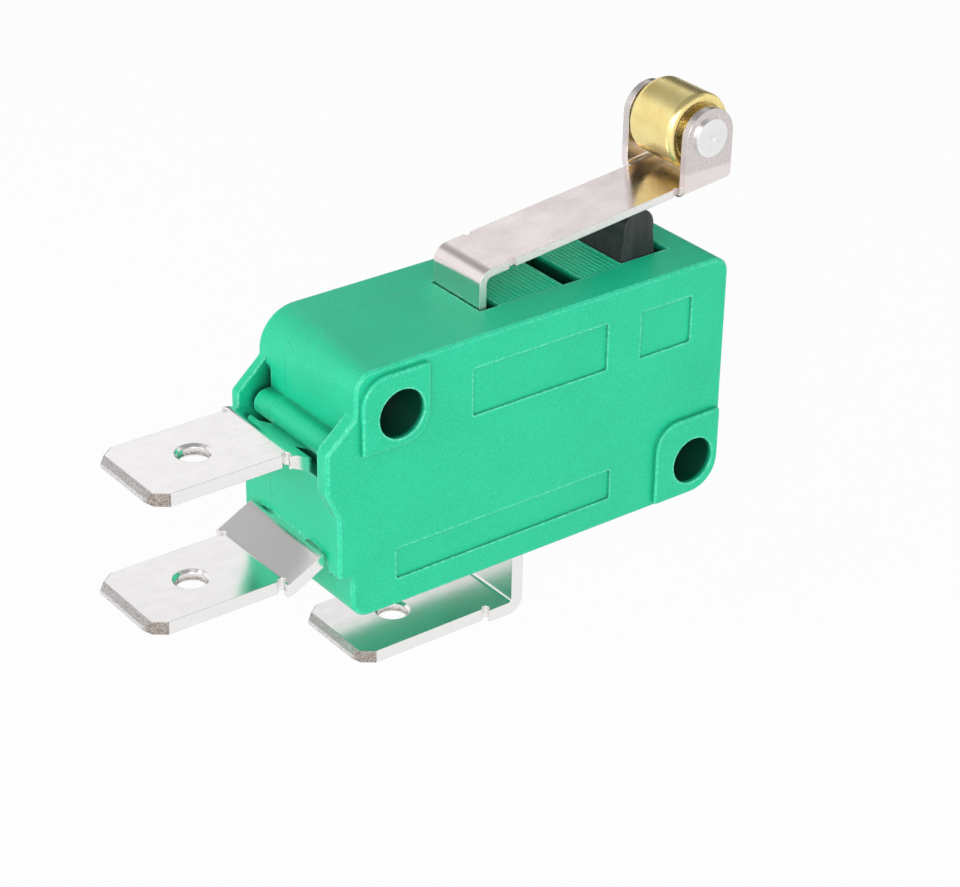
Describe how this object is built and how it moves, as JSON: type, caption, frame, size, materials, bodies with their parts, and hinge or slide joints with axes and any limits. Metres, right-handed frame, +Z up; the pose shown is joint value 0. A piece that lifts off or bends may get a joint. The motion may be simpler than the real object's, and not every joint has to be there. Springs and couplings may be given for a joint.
{
  "type": "lever micro switch",
  "caption": "Snap-action micro switch with a hinged roller lever, a plunger, blade terminals and diagonal mounting holes.",
  "frame": {"origin": "middle of the upper mounting hole, half way through the case", "axes": "+X along the case towards the roller end, +Y through the hole to the cover side, +Z up to the lever side"},
  "size_m": [0.0422, 0.0103, 0.0303],
  "materials": {
    "case_plastic": "fine matt moulding",
    "plunger_plastic": "satin moulding",
    "terminal_metal": "bright tin plate",
    "contact_silver": "satin",
    "arm_copper": "satin",
    "lever_steel": "polished with fine rolling lines",
    "spring_steel": "drawn wire",
    "roller_brass": "turned, satin"
  },
  "bodies": {
    "case": {"case_body": "case_plastic", "case_cover": "case_plastic", "com_terminal": "terminal_metal", "nc_terminal": "terminal_metal", "no_terminal": "terminal_metal", "nc_contact": "contact_silver", "no_contact": "contact_silver"},
    "lever": {"lever_arm": "lever_steel", "roller_pin": "lever_steel"},
    "roller": {"roller": "roller_brass"},
    "plunger": {"plunger": "plunger_plastic"},
    "trip_lever": {"trip_lever": "lever_steel"},
    "contact_arm": {"contact_arm": "arm_copper", "moving_contact": "contact_silver"},
    "snap_spring": {"snap_spring": "spring_steel"}
  },
  "joints": [
    {"name": "lever_pivot", "type": "hinge", "parent": "case", "child": "lever", "pos_m": [0.0079, 0, 0.0015], "axis": [0, 1, 0], "range_deg": [0, 10.5], "stiffness_Nm_per_rad": 0.03, "springref_deg": -8.59},
    {"name": "roller_spin", "type": "hinge", "parent": "lever", "child": "roller", "pos_m": [0.0242, 0, 0.0101], "axis": [0, 1, 0], "continuous": true},
    {"name": "plunger_press", "type": "slide", "parent": "case", "child": "plunger", "axis": [0, 0, -1], "range_m": [0, 0.00217]},
    {"name": "trip_lever_tilt", "type": "hinge", "parent": "case", "child": "trip_lever", "pos_m": [0.01013, 0, -0.0071], "axis": [0, 1, 0], "range_deg": [0, 12.12]},
    {"name": "contact_arm_tilt", "type": "hinge", "parent": "case", "child": "contact_arm", "pos_m": [0.00967, 0, -0.0062], "axis": [0, -1, 0], "range_deg": [0, 6.4]},
    {"name": "spring_swing", "type": "hinge", "parent": "contact_arm", "child": "snap_spring", "pos_m": [0.00265, 0, -0.00631], "axis": [0, 1, 0], "range_deg": [0, 7.25]}
  ],
  "couplings": [
    {"joint": "plunger_press", "follows": "lever_pivot", "m_per_rad": 0.011832},
    {"joint": "trip_lever_tilt", "follows": "lever_pivot", "ratio": 1.154},
    {"joint": "contact_arm_tilt", "follows": "lever_pivot", "ratio": 0.60952},
    {"joint": "spring_swing", "follows": "lever_pivot", "ratio": 0.69019}
  ]
}
